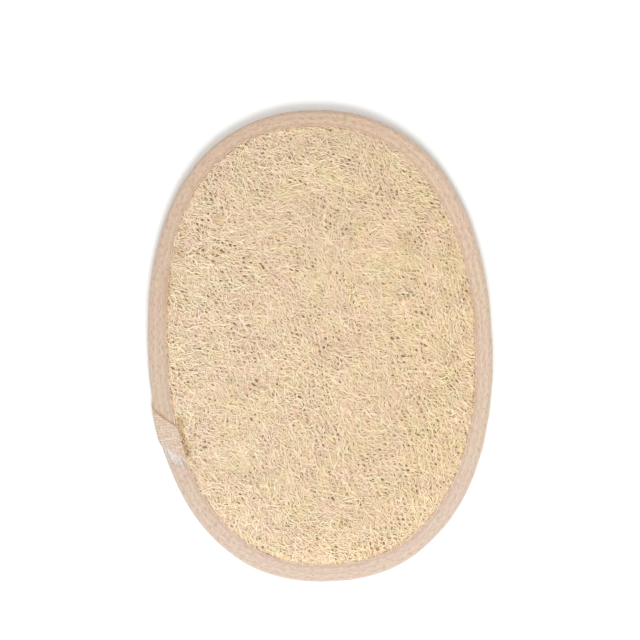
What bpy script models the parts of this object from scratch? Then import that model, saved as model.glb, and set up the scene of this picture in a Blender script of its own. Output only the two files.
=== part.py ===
"""Oval bath pad: a pressed loofah mat on a cotton terry back, bound with folded cotton tape.

The pad lies on its terry back with the loofah up. X runs across it and Y along it, and the
origin is the middle of the flat that it rests on. Lengths are in metres, angles in degrees.
A section point is an inset from the pad's edge and a height.
"""

import math
import random

import bmesh
import bpy
from mathutils import Vector, noise
from mathutils.geometry import delaunay_2d_cdt

MM = 0.001

# The pad's outline, seen from above
PAD_WIDTH = 138.6 * MM
PAD_LENGTH = 190.1 * MM
OUTLINE_POWER = 2.26  # 2 would be an ellipse, and more fills out the shoulders

# Cotton tape, folded over the edge of the layers
TAPE_THICKNESS = 0.9 * MM
TAPE_FRONT_EDGE = (7.5 * MM, 7.3 * MM)  # upper side of the front leg, where it ends
TAPE_BACK_EDGE = (8.3 * MM, 1.45 * MM)  # lower side of the back leg, where it ends
FOLD_INSET = 2.6 * MM  # how far in the round of the fold starts and ends
FOLD_TOP = (FOLD_INSET, 6.75 * MM)
FOLD_FLOOR = (FOLD_INSET, 1.5 * MM)
FOLD_STEPS = 4
TAPE_COLUMNS = 84

# The join of the tape: its folded end lies over its start, cut on a slant
LAP_START = 197.1
LAP_END = 208.4
LAP_STEP = 0.5
LAP_THICKNESS = 0.8 * MM
LAP_SLANT = -1.31  # run along the edge for each unit across the tape

# The two threads of the lockstitch through the tape, in the groove that they pull in
FRONT_STITCH_INSET = 6.0 * MM
BACK_STITCH_INSET = 6.0 * MM
GROOVE_HALF_WIDTH = 0.6 * MM
GROOVE_DEPTH = 0.35 * MM
THREAD_GAP = 0.3 * MM
THREAD_RADIUS = 0.28 * MM
THREAD_PINCH = 0.14 * MM  # radius where the thread dips into the tape
THREAD_SIDES = 3
STITCH_COUNT = 64

# The terry back, from its upper edge round to the flat that it rests on
TERRY_SECTION = (
    (2.6 * MM, 3.5 * MM),
    (2.6 * MM, 2.8 * MM),
    (8.9 * MM, 2.7 * MM),
    (9.0 * MM, 1.2 * MM),
    (12.5 * MM, 0.35 * MM),
    (18.0 * MM, 0.0),
)
TERRY_COLUMNS = 72

# The loofah mat, from the net's edge down and out to the rim that is pressed in the tape
NET_EDGE = (7.9 * MM, 7.7 * MM)
MAT_RIM = (
    (7.9 * MM, 6.1 * MM),
    (2.4 * MM, 5.35 * MM),
    (2.4 * MM, 3.8 * MM),
)
MAT_COLUMNS = 120
CROWN_HEIGHT = 11.8 * MM
CROWN_RUN = 18.1 * MM  # distance over which the mat rises from the net's edge to its crown

# The mat's net of fibres, larger than life: long narrow meshes round sunken pits
MESH_LENGTH = 8.4 * MM
MESH_WIDTH = 3.3 * MM
MESH_JITTER = 0.09  # share of the mesh's own length and width
FIBRE_ANGLE = -40.0
NET_WARP = 7.0 * MM
WARP_SCALE = 55.0 * MM
NET_MARGIN = 1.3 * MM  # clear distance from the net's corners to its edge
PIT_REACH = 0.2  # where a pit's two low points lie, as a share of the mesh's length
PIT_DEPTH = 1.3 * MM
FIBRE_LIFT = 0.35 * MM
SWELL_HEIGHT = 0.5 * MM
SWELL_SCALE = 24.0 * MM

SEED = 11


def outline_radius(angle):
    """Distance from the middle to the pad's edge, in the direction of angle."""
    across = abs(math.cos(angle)) / (PAD_WIDTH / 2)
    along = abs(math.sin(angle)) / (PAD_LENGTH / 2)
    return (across**OUTLINE_POWER + along**OUTLINE_POWER) ** (-1 / OUTLINE_POWER)


def outline_slant(angle):
    """Length along the ray at angle for each unit square to the pad's edge."""
    step = math.radians(0.5)
    change = outline_radius(angle + step) - outline_radius(angle - step)
    return math.hypot(1, change / (2 * step) / outline_radius(angle))


def rim_point(angle, inset, height):
    """The point on the ray at angle that lies inset from the pad's edge."""
    radius = outline_radius(angle) - inset * outline_slant(angle)
    return Vector((radius * math.cos(angle), radius * math.sin(angle), height))


def inset_of(point):
    """How far a point lies inside the pad's edge."""
    angle = math.atan2(point.y, point.x)
    return (outline_radius(angle) - point.xy.length) / outline_slant(angle)


def even_angles(count):
    return [math.tau * step / count for step in range(count)]


def make_material(name, colour, roughness):
    material = bpy.data.materials.new(name)
    material.use_nodes = True
    shader = material.node_tree.nodes["Principled BSDF"]
    shader.inputs["Base Color"].default_value = (*colour, 1)
    shader.inputs["Roughness"].default_value = roughness
    shader.inputs["Metallic"].default_value = 0
    material.diffuse_color = (*colour, 1)
    return material


def add_object(name, bm, material, smooth_angle):
    """Turns a bmesh into a named object, with its faces pointing out."""
    bmesh.ops.recalc_face_normals(bm, faces=bm.faces)
    mesh = bpy.data.meshes.new(name)
    bm.to_mesh(mesh)
    bm.free()
    mesh.materials.append(material)
    mesh.shade_smooth()
    mesh.set_sharp_from_angle(angle=math.radians(smooth_angle))
    obj = bpy.data.objects.new(name, mesh)
    bpy.context.scene.collection.objects.link(obj)


def join_rings(bm, rings):
    """Faces between each ring of vertices and the next one."""
    for ring, following in zip(rings, rings[1:]):
        for column in range(len(ring)):
            beside = (column + 1) % len(ring)
            corners = (ring[column], ring[beside], following[beside], following[column])
            bm.faces.new(corners)


def height_between(start, end, inset):
    """Height at inset on the straight line between two section points."""
    share = (inset - start[0]) / (end[0] - start[0])
    return start[1] + share * (end[1] - start[1])


def front_height(inset):
    return height_between(FOLD_TOP, TAPE_FRONT_EDGE, inset)


def back_height(inset):
    return height_between(FOLD_FLOOR, TAPE_BACK_EDGE, inset)


def groove(inset, surface, into):
    """Three section points across a groove, sunk the way that into points."""
    near = inset - GROOVE_HALF_WIDTH
    far = inset + GROOVE_HALF_WIDTH
    floor = surface(inset) + into * GROOVE_DEPTH
    return [(near, surface(near)), (inset, floor), (far, surface(far))]


def fold_arc(depth):
    """The round of the fold from its top to its floor, at this depth in the tape."""
    middle = (FOLD_TOP[1] + FOLD_FLOOR[1]) / 2
    reach = FOLD_INSET - depth
    rise = FOLD_TOP[1] - middle - depth
    points = []
    for step in range(FOLD_STEPS + 1):
        turn = math.pi * step / FOLD_STEPS
        inset = FOLD_INSET - reach * math.sin(turn)
        points.append((inset, middle + rise * math.cos(turn)))
    return points


def tape_outer_section():
    """The tape's outer side, from its front edge round the fold to its back edge."""
    front = [TAPE_FRONT_EDGE] + groove(FRONT_STITCH_INSET, front_height, -1)[::-1]
    back = groove(BACK_STITCH_INSET, back_height, 1) + [TAPE_BACK_EDGE]
    return front + fold_arc(0) + back


def tape_inner_section():
    """The side of the tape that lies on the mat and the terry, front to back."""
    front = (TAPE_FRONT_EDGE[0], TAPE_FRONT_EDGE[1] - TAPE_THICKNESS)
    back = (TAPE_BACK_EDGE[0], TAPE_BACK_EDGE[1] + TAPE_THICKNESS)
    return [front] + fold_arc(TAPE_THICKNESS) + [back]


def tape_reaches(section):
    """How far each section point lies from the middle of the tape, minus at the front."""
    reaches = [0.0]
    for before, after in zip(section, section[1:]):
        reaches.append(reaches[-1] + math.dist(before, after))
    return [reach - reaches[-1] / 2 for reach in reaches]


def lap_share(column):
    """1 where the tape's end lies over its start, and 0 elsewhere."""
    degrees = math.degrees(column) % 360
    rise = (degrees - LAP_START) / LAP_STEP
    fall = (LAP_END - degrees) / LAP_STEP
    return max(0.0, min(1.0, rise, fall))


def lap_slant(angle, reach):
    """Angle by which the lap's slanted edge has moved at this reach across the tape."""
    return LAP_SLANT * reach / outline_radius(angle)


def lift_by_lap(point, share):
    """A point on the tape's outer side, moved out by its share of the lap's thickness."""
    inset, height = point
    middle = (FOLD_TOP[1] + FOLD_FLOOR[1]) / 2
    away = Vector((min(0.0, inset - FOLD_INSET), height - middle)).normalized()
    lifted = Vector(point) + away * LAP_THICKNESS * share
    return lifted.x, lifted.y


def tape_columns():
    """Even columns round the pad, and one at each edge of the lap."""
    edges = [LAP_START, LAP_START + LAP_STEP, LAP_END - LAP_STEP, LAP_END]
    spacing = 360 / TAPE_COLUMNS
    even = [column * spacing for column in range(TAPE_COLUMNS)]
    clear = [place for place in even if min(abs(place - edge) for edge in edges) > spacing / 4]
    return [math.radians(place) for place in sorted(clear + edges)]


def tape_ring(bm, point, reach, lapped):
    """One ring of the tape's vertices, which moves out where the end laps over."""
    ring = []
    for column in tape_columns():
        share = lap_share(column) if lapped else 0
        inset, height = lift_by_lap(point, share)
        angle = column + lap_slant(column, reach)
        ring.append(bm.verts.new(rim_point(angle, inset, height)))
    return ring


def make_binding(material):
    """The folded tape as one closed ring, with its lapped join."""
    bm = bmesh.new()
    outer = tape_outer_section()
    inner = tape_inner_section()
    rings = [tape_ring(bm, *place, lapped=True) for place in zip(outer, tape_reaches(outer))]
    inner_rings = [
        tape_ring(bm, *place, lapped=False) for place in zip(inner, tape_reaches(inner))
    ]
    rings += inner_rings[::-1]
    join_rings(bm, rings + rings[:1])
    add_object("edge_binding", bm, material, smooth_angle=50)


def stitch_reach(inset, outward):
    """How far a row of stitches lies from the middle of the tape, minus at the front."""
    section = tape_outer_section()
    rows = range(len(section) // 2)
    if outward < 0:
        rows = range(len(section) // 2, len(section))
    nearest = min(rows, key=lambda row: abs(section[row][0] - inset))
    return tape_reaches(section)[nearest]


def make_stitching(name, surface, inset, outward, material):
    """One thread of the lockstitch round the pad, pinched where it dips into the tape."""
    columns = even_angles(2 * STITCH_COUNT)
    clear = 1.5 * math.tau / len(columns)
    reach = stitch_reach(inset, outward)
    floor = surface(inset) - outward * GROOVE_DEPTH
    rest = floor + outward * (THREAD_GAP + THREAD_RADIUS)
    bm = bmesh.new()
    rings = [[] for _ in range(THREAD_SIDES)]
    for number, angle in enumerate(columns):
        column = angle - lap_slant(angle, reach)
        share = max(lap_share(column + step) for step in (-clear, 0, clear))
        height = rest + outward * LAP_THICKNESS * share
        radius = THREAD_RADIUS if number % 2 else THREAD_PINCH
        for side, ring in enumerate(rings):
            turn = math.tau * side / THREAD_SIDES + outward * math.pi / 2
            place = (inset + radius * math.cos(turn), height + radius * math.sin(turn))
            ring.append(bm.verts.new(rim_point(angle, *place)))
    join_rings(bm, rings + rings[:1])
    add_object(name, bm, material, smooth_angle=60)


def make_terry_back(material):
    """The terry panel: its edge lies in the tape, and its middle stands out below."""
    bm = bmesh.new()
    angles = even_angles(TERRY_COLUMNS)
    rings = []
    for inset, height in TERRY_SECTION:
        rings.append([bm.verts.new(rim_point(angle, inset, height)) for angle in angles])
    join_rings(bm, rings)
    bm.faces.new(rings[0])
    bm.faces.new(rings[-1])
    add_object("terry_back", bm, material, smooth_angle=40)


def crown_height(point):
    """Height of the mat's surface: a low crown with uneven swells."""
    run = (inset_of(point) - NET_EDGE[0]) / CROWN_RUN
    share = math.sin(math.pi / 2 * max(0.0, min(1.0, run)))
    swell = SWELL_HEIGHT * noise.noise(point / SWELL_SCALE)
    return NET_EDGE[1] + share * (CROWN_HEIGHT - NET_EDGE[1] + swell)


def net_point(along, across, rng):
    """A point of the net on the mat, from its place on an even lattice of meshes."""
    along += rng.uniform(-1, 1) * MESH_JITTER
    across += rng.uniform(-1, 1) * MESH_JITTER
    direction = math.radians(FIBRE_ANGLE)
    run = Vector((math.cos(direction), math.sin(direction), 0)) * along * MESH_LENGTH
    side = Vector((-math.sin(direction), math.cos(direction), 0)) * across * MESH_WIDTH
    flat = run + side
    flat += noise.noise_vector(flat / WARP_SCALE) * NET_WARP
    flat.z = 0
    return flat


def raise_point(flat, lift):
    return Vector((flat.x, flat.y, crown_height(flat) + lift))


def add_mesh(middle, net, rng):
    """One six-sided mesh of the net: its corners and threads, and the pit in it."""
    corners = ((0.5, 0), (0.25, 0.5), (-0.25, 0.5), (-0.5, 0), (-0.25, -0.5), (0.25, -0.5))
    keys = []
    for along, across in corners:
        key = (middle[0] + along, middle[1] + across)
        if key not in net["corners"]:
            flat = net_point(*key, rng)
            net["corners"][key] = raise_point(flat, rng.uniform(-1, 1) * FIBRE_LIFT)
        keys.append(key)
    net["threads"] += zip(keys, keys[1:] + keys[:1])
    for reach in (-PIT_REACH, PIT_REACH):
        flat = net_point(middle[0] + reach, middle[1], rng)
        net["pits"].append(raise_point(flat, -PIT_DEPTH))


def make_net():
    """The net over the whole of the mat, as corners by lattice place, threads and pits."""
    rng = random.Random(SEED)
    net = {"corners": {}, "threads": [], "pits": []}
    columns = math.ceil(PAD_LENGTH / (1.5 * MESH_LENGTH))
    rows = math.ceil(PAD_LENGTH / (2 * MESH_WIDTH))
    for column in range(-columns, columns + 1):
        for row in range(-rows, rows + 1):
            add_mesh((0.75 * column, row + 0.5 * (column % 2)), net, rng)
    return net


def on_mat(point):
    return inset_of(point) > NET_EDGE[0] + NET_MARGIN


def net_surface(edge):
    """Points and triangles of the net inside its edge. The edge's points come first."""
    net = make_net()
    points = list(edge)
    numbers = {}
    for key, corner in net["corners"].items():
        if on_mat(corner):
            numbers[key] = len(points)
            points.append(corner)
    threads = [(numbers[a], numbers[b]) for a, b in net["threads"] if a in numbers and b in numbers]
    points += [pit for pit in net["pits"] if on_mat(pit)]
    edge_lines = [(place, (place + 1) % len(edge)) for place in range(len(edge))]
    plan = [point.xy for point in points]
    result = delaunay_2d_cdt(plan, edge_lines + threads, [], 0, 0.01 * MM)
    triangles, sources = result[2], result[3]
    return points, [[sources[corner][0] for corner in face] for face in triangles]


def make_loofah_mat(material):
    """The loofah as one solid: a raised net over a thick mat with a thin pressed rim."""
    bm = bmesh.new()
    angles = even_angles(MAT_COLUMNS)
    edge = [rim_point(angle, *NET_EDGE) for angle in angles]
    points, triangles = net_surface(edge)
    verts = [bm.verts.new(point) for point in points]
    for triangle in triangles:
        bm.faces.new([verts[corner] for corner in triangle])
    rings = [verts[:MAT_COLUMNS]]
    for inset, height in MAT_RIM:
        rings.append([bm.verts.new(rim_point(angle, inset, height)) for angle in angles])
    join_rings(bm, rings)
    bm.faces.new(rings[-1])
    add_object("loofah_mat", bm, material, smooth_angle=85)


def main():
    for obj in list(bpy.data.objects):
        bpy.data.objects.remove(obj)
    loofah = make_material("loofah_fibre", (0.78, 0.60, 0.40), 0.8)
    tape = make_material("cotton_tape", (0.72, 0.56, 0.43), 0.9)
    thread = make_material("cotton_thread", (0.80, 0.68, 0.54), 0.7)
    terry = make_material("cotton_terry", (0.80, 0.72, 0.60), 0.95)
    make_loofah_mat(loofah)
    make_terry_back(terry)
    make_binding(tape)
    make_stitching("front_stitching", front_height, FRONT_STITCH_INSET, 1, thread)
    make_stitching("back_stitching", back_height, BACK_STITCH_INSET, -1, thread)


main()
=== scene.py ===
import math

import bpy
import numpy as np
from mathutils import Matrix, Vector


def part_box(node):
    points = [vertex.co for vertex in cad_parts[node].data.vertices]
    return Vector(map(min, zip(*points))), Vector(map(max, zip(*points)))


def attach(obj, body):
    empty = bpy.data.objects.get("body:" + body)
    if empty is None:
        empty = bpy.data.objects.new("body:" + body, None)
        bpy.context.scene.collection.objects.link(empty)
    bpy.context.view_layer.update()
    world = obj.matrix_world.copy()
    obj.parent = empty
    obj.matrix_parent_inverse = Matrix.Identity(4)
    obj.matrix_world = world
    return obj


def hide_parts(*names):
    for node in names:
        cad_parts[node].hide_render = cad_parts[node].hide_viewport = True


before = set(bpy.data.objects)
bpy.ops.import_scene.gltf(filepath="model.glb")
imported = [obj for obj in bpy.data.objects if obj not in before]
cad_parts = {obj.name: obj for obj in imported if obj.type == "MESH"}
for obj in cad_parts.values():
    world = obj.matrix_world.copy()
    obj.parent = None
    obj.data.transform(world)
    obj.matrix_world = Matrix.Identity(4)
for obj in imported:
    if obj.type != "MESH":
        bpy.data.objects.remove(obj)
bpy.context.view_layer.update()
print("frame loaded")

mm = 0.001


# camera, light and floor

view = {
    "distance": 1.0,  # from the pad's edge to the lens
    "lens": 139.4,
    "turn": math.radians(-2.56),  # the pad leans a little to the left in the picture
    "rise": 10.4 * mm,  # how far above the pad's middle the picture is centred
    "edgeHeight": 3.8 * mm,
}
lamps = [  # place, size and power of the key light and of the fill
    ((0.05, -0.62, 0.95), 0.55, 7.8),
    ((-0.7, 0.5, 0.8), 1.0, 1.5),
]
skyStrength = 0.86


def addCamera():
    x = -math.sin(view["turn"]) * view["rise"]
    y = math.cos(view["turn"]) * view["rise"]
    place = (x, y, view["distance"] + view["edgeHeight"])
    bpy.ops.object.camera_add(location=place, rotation=(0, 0, view["turn"]))
    camera = bpy.context.object
    camera.data.lens = view["lens"]
    camera.data.sensor_width = 36
    camera.data.clip_start = 0.01
    bpy.context.scene.camera = camera


def addLamp(place, size, power):
    bpy.ops.object.light_add(type="AREA", location=place)
    lamp = bpy.context.object
    lamp.data.shape = "DISK"
    lamp.data.size = size
    lamp.data.energy = power
    # turn the lamp towards the pad
    x, y, z = place
    lamp.rotation_euler = (math.atan2(math.hypot(x, y), z), 0, math.atan2(y, x) + math.pi / 2)


def addFloor():
    bpy.ops.mesh.primitive_plane_add(size=6, location=(0, 0, 0))
    floor = bpy.context.object
    floor.name = "floor"
    material = bpy.data.materials.new("paleFloor")
    material.use_nodes = True
    shader = material.node_tree.nodes["Principled BSDF"]
    shader.inputs["Base Color"].default_value = (0.86, 0.86, 0.85, 1)
    shader.inputs["Roughness"].default_value = 0.75
    floor.data.materials.append(material)


def addSky():
    world = bpy.data.worlds.new("paleSky")
    world.use_nodes = True
    background = world.node_tree.nodes["Background"]
    background.inputs["Color"].default_value = (1, 1, 1, 1)
    background.inputs["Strength"].default_value = skyStrength
    bpy.context.scene.world = world


bpy.context.scene.view_settings.view_transform = "Standard"
addCamera()
addFloor()
addSky()
for place, size, power in lamps:
    addLamp(place, size, power)
print("camera, lights and floor added")


# the pad's edge seen from above: an oval with full shoulders

bindingLow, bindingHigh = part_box("edge_binding")
outline = {
    "halfWidth": (bindingHigh.x - bindingLow.x) / 2,
    "halfLength": (bindingHigh.y - bindingLow.y) / 2,
    "power": 2.26,
}


def edgeRadius(angle):
    across = np.abs(np.cos(angle)) / outline["halfWidth"]
    along = np.abs(np.sin(angle)) / outline["halfLength"]
    return (across ** outline["power"] + along ** outline["power"]) ** (-1 / outline["power"])


def edgeSlant(angle):
    # length along the ray for each unit square to the edge
    step = math.radians(0.5)
    change = edgeRadius(angle + step) - edgeRadius(angle - step)
    return np.hypot(1, change / (2 * step) / edgeRadius(angle))


def padPoint(angle, inset, height):
    radius = edgeRadius(angle) - inset * edgeSlant(angle)
    x = radius * np.cos(angle)
    y = radius * np.sin(angle)
    return np.stack(np.broadcast_arrays(x, y, height), -1)


def insetOf(x, y):
    angle = np.arctan2(y, x)
    return (edgeRadius(angle) - np.hypot(x, y)) / edgeSlant(angle)


def evenAngles(count, inset):
    # columns at even distances along the pad's edge
    fine = np.linspace(0, math.tau, 7201)
    points = padPoint(fine, inset, 0)
    steps = np.linalg.norm(np.diff(points, axis=0), axis=1)
    length = np.concatenate([[0], np.cumsum(steps)])
    places = np.linspace(0, length[-1], count + 1)
    return np.interp(places, length, fine), places


def wavyField(seed, count, shortest, longest):
    # a smooth random field made of sine waves in all directions, about -1 to 1
    draw = np.random.default_rng(seed)
    pitch = math.tau / draw.uniform(shortest, longest, count)
    turn = draw.uniform(0, math.tau, count)
    start = draw.uniform(0, math.tau, count)

    def valueAt(x, y):
        total = 0
        for k, t, s in zip(pitch, turn, start):
            total = total + np.sin(k * (x * math.cos(t) + y * math.sin(t)) + s)
        return total * math.sqrt(2 / count) / 1.4

    return valueAt


# how far in the tape's front edge lies, which wanders round the pad

tapeEdge = {
    # degrees round the pad, and how far in the edge lies there, in mm
    "turns": [-60, -35, 10, 30, 50, 72, 92, 112, 130, 140, 152, 165, 235, 252, 275],
    "insets": [7.3, 7.2, 7.2, 7.5, 7.7, 7.4, 6.7, 6.2, 6.2, 6.8, 7.8, 8.0, 8.0, 7.7, 7.3],
    "middle": 7.5,  # what the solid tape has all round
    "spread": [-6, -3, 0, 3, 6],  # degrees over which it is evened out
}


def edgeShift(angle):
    # how much further in than the solid's edge the tape ends here
    turns = np.radians(tapeEdge["turns"])
    insets = np.array(tapeEdge["insets"])
    spread = np.radians(tapeEdge["spread"])
    near = [np.interp(angle + turn, turns, insets, period=math.tau) for turn in spread]
    return (sum(near) / len(near) - tapeEdge["middle"]) * mm


# meshes

def addMesh(name, points, faces, material):
    mesh = bpy.data.meshes.new(name)
    mesh.from_pydata(points.reshape(-1, 3), [], faces)
    mesh.shade_smooth()
    mesh.materials.append(material)
    piece = bpy.data.objects.new(name, mesh)
    bpy.context.scene.collection.objects.link(piece)
    return piece


def ringFaces(rows, columns, closedRows=False, closedColumns=True):
    # quads between neighbouring rings, each ring going round the pad
    row = np.arange(rows if closedRows else rows - 1)[:, None]
    column = np.arange(columns if closedColumns else columns - 1)[None, :]
    nextRow = (row + 1) % rows
    nextColumn = (column + 1) % columns
    corners = [
        row * columns + column,
        row * columns + nextColumn,
        nextRow * columns + nextColumn,
        nextRow * columns + column,
    ]
    return np.stack(corners, -1).reshape(-1, 4)


def fixNormals(piece):
    bpy.ops.object.select_all(action="DESELECT")
    bpy.context.view_layer.objects.active = piece
    piece.select_set(True)
    bpy.ops.object.mode_set(mode="EDIT")
    bpy.ops.mesh.select_all(action="SELECT")
    bpy.ops.mesh.normals_make_consistent(inside=False)
    bpy.ops.object.mode_set(mode="OBJECT")
    piece.select_set(False)


def addShell(name, points, material):
    # rings joined into a solid with flat ends
    rows, columns = points.shape[:2]
    faces = ringFaces(rows, columns).tolist()
    faces.append(list(range(columns)))
    faces.append(list(range((rows - 1) * columns, rows * columns)))
    piece = addMesh(name, points, faces, material)
    fixNormals(piece)
    return piece


def paint(piece, name, values):
    layer = piece.data.attributes.new(name, "FLOAT", "POINT")
    layer.data.foreach_set("value", np.asarray(values, np.float32).ravel())


def modelStrand(sides, segments, endShare):
    # a straight strand of radius 1 and length 1, thinner at its two ends
    bpy.ops.object.select_all(action="DESELECT")
    bpy.ops.mesh.primitive_circle_add(vertices=sides, radius=endShare, fill_type="NGON")
    strand = bpy.context.object
    bpy.ops.object.mode_set(mode="EDIT")
    bpy.ops.mesh.select_all(action="SELECT")
    for ring in range(segments):
        bpy.ops.mesh.extrude_region_move(TRANSFORM_OT_translate={"value": (0, 0, 1 / segments)})
        if ring == 0:
            bpy.ops.transform.resize(value=(1 / endShare, 1 / endShare, 1))
        if ring == segments - 1:
            bpy.ops.transform.resize(value=(endShare, endShare, 1))
    bpy.ops.mesh.select_all(action="SELECT")
    bpy.ops.mesh.normals_make_consistent(inside=False)
    bpy.ops.object.mode_set(mode="OBJECT")
    corners = np.array([vertex.co for vertex in strand.data.vertices])
    faces = [tuple(polygon.vertices) for polygon in strand.data.polygons]
    bpy.data.objects.remove(strand)
    return {"corners": corners, "faces": faces, "segments": segments}


def bendCopies(name, strand, paths, radius, up, material, flatness=1.0):
    # one copy of the strand along each path, with its own width, joined in one mesh
    count, rings, _ = paths.shape
    ahead = np.gradient(paths, axis=1)
    ahead /= np.linalg.norm(ahead, axis=2, keepdims=True)
    side = np.cross(np.broadcast_to(up, ahead.shape), ahead)
    side /= np.linalg.norm(side, axis=2, keepdims=True)
    over = np.cross(ahead, side)
    ring = np.rint(strand["corners"][:, 2] * strand["segments"]).astype(int)
    wide = strand["corners"][:, 0][None, :, None] * radius[:, None, None]
    high = strand["corners"][:, 1][None, :, None] * radius[:, None, None] * flatness
    points = paths[:, ring] + side[:, ring] * wide + over[:, ring] * high
    step = len(strand["corners"])
    faces = []
    for sides in sorted({len(face) for face in strand["faces"]}):
        alike = np.array([face for face in strand["faces"] if len(face) == sides])
        shifted = alike[None] + step * np.arange(count)[:, None, None]
        faces += shifted.reshape(-1, sides).tolist()
    return addMesh(name, points, faces, material)


# materials

def newMaterial(name, roughness):
    material = bpy.data.materials.new(name)
    material.use_nodes = True
    shader = material.node_tree.nodes["Principled BSDF"]
    shader.inputs["Roughness"].default_value = roughness
    place = addNode(material.node_tree, "ShaderNodeTexCoord").outputs["Object"]
    return material, material.node_tree, shader, place


def addNode(tree, kind, inputs=None, **settings):
    node = tree.nodes.new(kind)
    for key, value in settings.items():
        setattr(node, key, value)
    for key, value in (inputs or {}).items():
        if isinstance(value, bpy.types.NodeSocket):
            tree.links.new(value, node.inputs[key])
        else:
            node.inputs[key].default_value = value
    return node


def addMath(tree, operation, first, second=0.0):
    return addNode(tree, "ShaderNodeMath", {0: first, 1: second}, operation=operation).outputs[0]


def scaleValue(tree, value, factor, offset):
    # value times factor plus offset, kept between 0 and 1
    inputs = {0: value, 1: factor, 2: offset}
    return addNode(tree, "ShaderNodeMath", inputs, operation="MULTIPLY_ADD", use_clamp=True).outputs[0]


def addAttribute(tree, name):
    return addNode(tree, "ShaderNodeAttribute", attribute_name=name).outputs["Fac"]


def addRamp(tree, value, stops):
    node = addNode(tree, "ShaderNodeValToRGB", {"Fac": value})
    ramp = node.color_ramp
    while len(ramp.elements) < len(stops):
        ramp.elements.new(0.5)
    for element, (place, colour) in zip(ramp.elements, stops):
        element.position = place
        element.color = (*colour, 1)
    return node.outputs["Color"]


def addNoise(tree, place, scale, detail=2.0):
    inputs = {"Vector": place, "Scale": scale, "Detail": detail}
    return addNode(tree, "ShaderNodeTexNoise", inputs).outputs["Fac"]


def mixColours(tree, share, first, second, blend="MIX"):
    node = addNode(tree, "ShaderNodeMix", data_type="RGBA", blend_type=blend)
    for socket, value in ((0, share), (6, first), (7, second)):
        if isinstance(value, bpy.types.NodeSocket):
            tree.links.new(value, node.inputs[socket])
        elif socket == 0:
            node.inputs[socket].default_value = value
        else:
            node.inputs[socket].default_value = (*value, 1)
    return node.outputs[2]


def addBump(tree, shader, height, strength, distance):
    inputs = {"Strength": strength, "Distance": distance, "Height": height}
    bump = addNode(tree, "ShaderNodeBump", inputs)
    tree.links.new(bump.outputs["Normal"], shader.inputs["Normal"])


def shareAlong(tree, place, axis, low, high):
    # 0 at the low place on this axis of the pad, rising to 1 at the high one
    value = addNode(tree, "ShaderNodeSeparateXYZ", {0: place}).outputs[axis]
    inputs = {"Value": value, "From Min": low, "From Max": high}
    return addNode(tree, "ShaderNodeMapRange", inputs).outputs["Result"]


loofahColours = {
    "deep": (0.80, 0.585, 0.375),
    "middle": (0.89, 0.745, 0.555),
    "pale": (0.94, 0.855, 0.75),
    "pit": (0.30, 0.14, 0.02),
    "yellow": (0.985, 1.0, 0.905),
    "pink": (1.0, 0.945, 0.965),
    # the brown of the brown places and of the painted shade along the join and the tape
    "brownAndShade": (0.54, 0.32, 0.10),
    "warm": (1.0, 0.98, 0.90),  # the mat's right side is yellower than its left
    # the painted shade in the gaps between the ground's fibre ridges
    "gap": (0.46, 0.245, 0.08),
    "ground": (0.75, 0.515, 0.29),
    "ridge": (0.88, 0.70, 0.49),
}


def loofahMaterial():
    # each fibre has its own tint, and the mat is yellower in some places and pinker in others
    material, tree, shader, place = newMaterial("loofahFibre", 0.62)
    streak = addMath(tree, "SUBTRACT", addNoise(tree, place, 900.0, 3.0), 0.5)
    value = addMath(tree, "ADD", addAttribute(tree, "tint"), addMath(tree, "MULTIPLY", streak, 0.5))
    stops = [(0.0, loofahColours["deep"]), (0.5, loofahColours["middle"]), (1.0, loofahColours["pale"])]
    colour = addRamp(tree, value, stops)
    patch = scaleValue(tree, addNoise(tree, place, 130.0, 3.0), 2.6, -0.8)
    cast = mixColours(tree, patch, loofahColours["pink"], loofahColours["yellow"])
    colour = mixColours(tree, 1.0, colour, cast, "MULTIPLY")
    right = shareAlong(tree, place, "X", -50 * mm, 50 * mm)
    colour = mixColours(tree, right, colour, loofahColours["warm"], "MULTIPLY")
    # the brown places, and the painted shade in the groove along the join and in the crease along the
    # tape
    colour = mixColours(tree, addAttribute(tree, "brownAndShade"), colour, loofahColours["brownAndShade"])
    # the pits are painted dark brown: partly the browner inner fibre, partly painted shade in the net's
    # deep holes
    pit = addMath(tree, "MULTIPLY", addAttribute(tree, "pit"), 0.95)
    colour = mixColours(tree, pit, colour, loofahColours["pit"])
    tree.links.new(colour, shader.inputs["Base Color"])
    addBump(tree, shader, addNoise(tree, place, 1800.0, 2.0), 0.25, 0.1 * mm)
    return material


def fibreRelief(tree, place, turn, scale):
    # long narrow ridges like fibres lying side by side, all at this turn
    inputs = {"Vector": place, "Rotation": (0, 0, -turn), "Scale": (0.22, 1.0, 0.3)}
    turned = addNode(tree, "ShaderNodeMapping", inputs).outputs["Vector"]
    inputs = {"Vector": turned, "Scale": scale, "Detail": 1.0, "Distortion": 0.35}
    value = addNode(tree, "ShaderNodeTexNoise", inputs).outputs["Fac"]
    folded = addMath(tree, "ABSOLUTE", addMath(tree, "SUBTRACT", value, 0.5))
    return addMath(tree, "SUBTRACT", 1.0, addMath(tree, "MULTIPLY", folded, 7.0))


def matMaterial():
    # the packed fibre under the net, in two crossing layers, darker and browner: partly its own colour,
    # partly painted shade under the net, and darkest in the painted shade of the gaps between its
    # ridges
    material, tree, shader, place = newMaterial("loofahGround", 0.85)
    first = fibreRelief(tree, place, math.radians(-50), 900.0)
    second = fibreRelief(tree, place, math.radians(-8), 800.0)
    relief = addMath(tree, "MAXIMUM", first, second)
    stops = [(0.0, loofahColours["gap"]), (0.5, loofahColours["ground"]), (1.0, loofahColours["ridge"])]
    colour = addRamp(tree, relief, stops)
    colour = mixColours(tree, addAttribute(tree, "brownAndShade"), colour, loofahColours["brownAndShade"])
    tree.links.new(colour, shader.inputs["Base Color"])
    addBump(tree, shader, relief, 0.9, 0.35 * mm)
    return material


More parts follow.
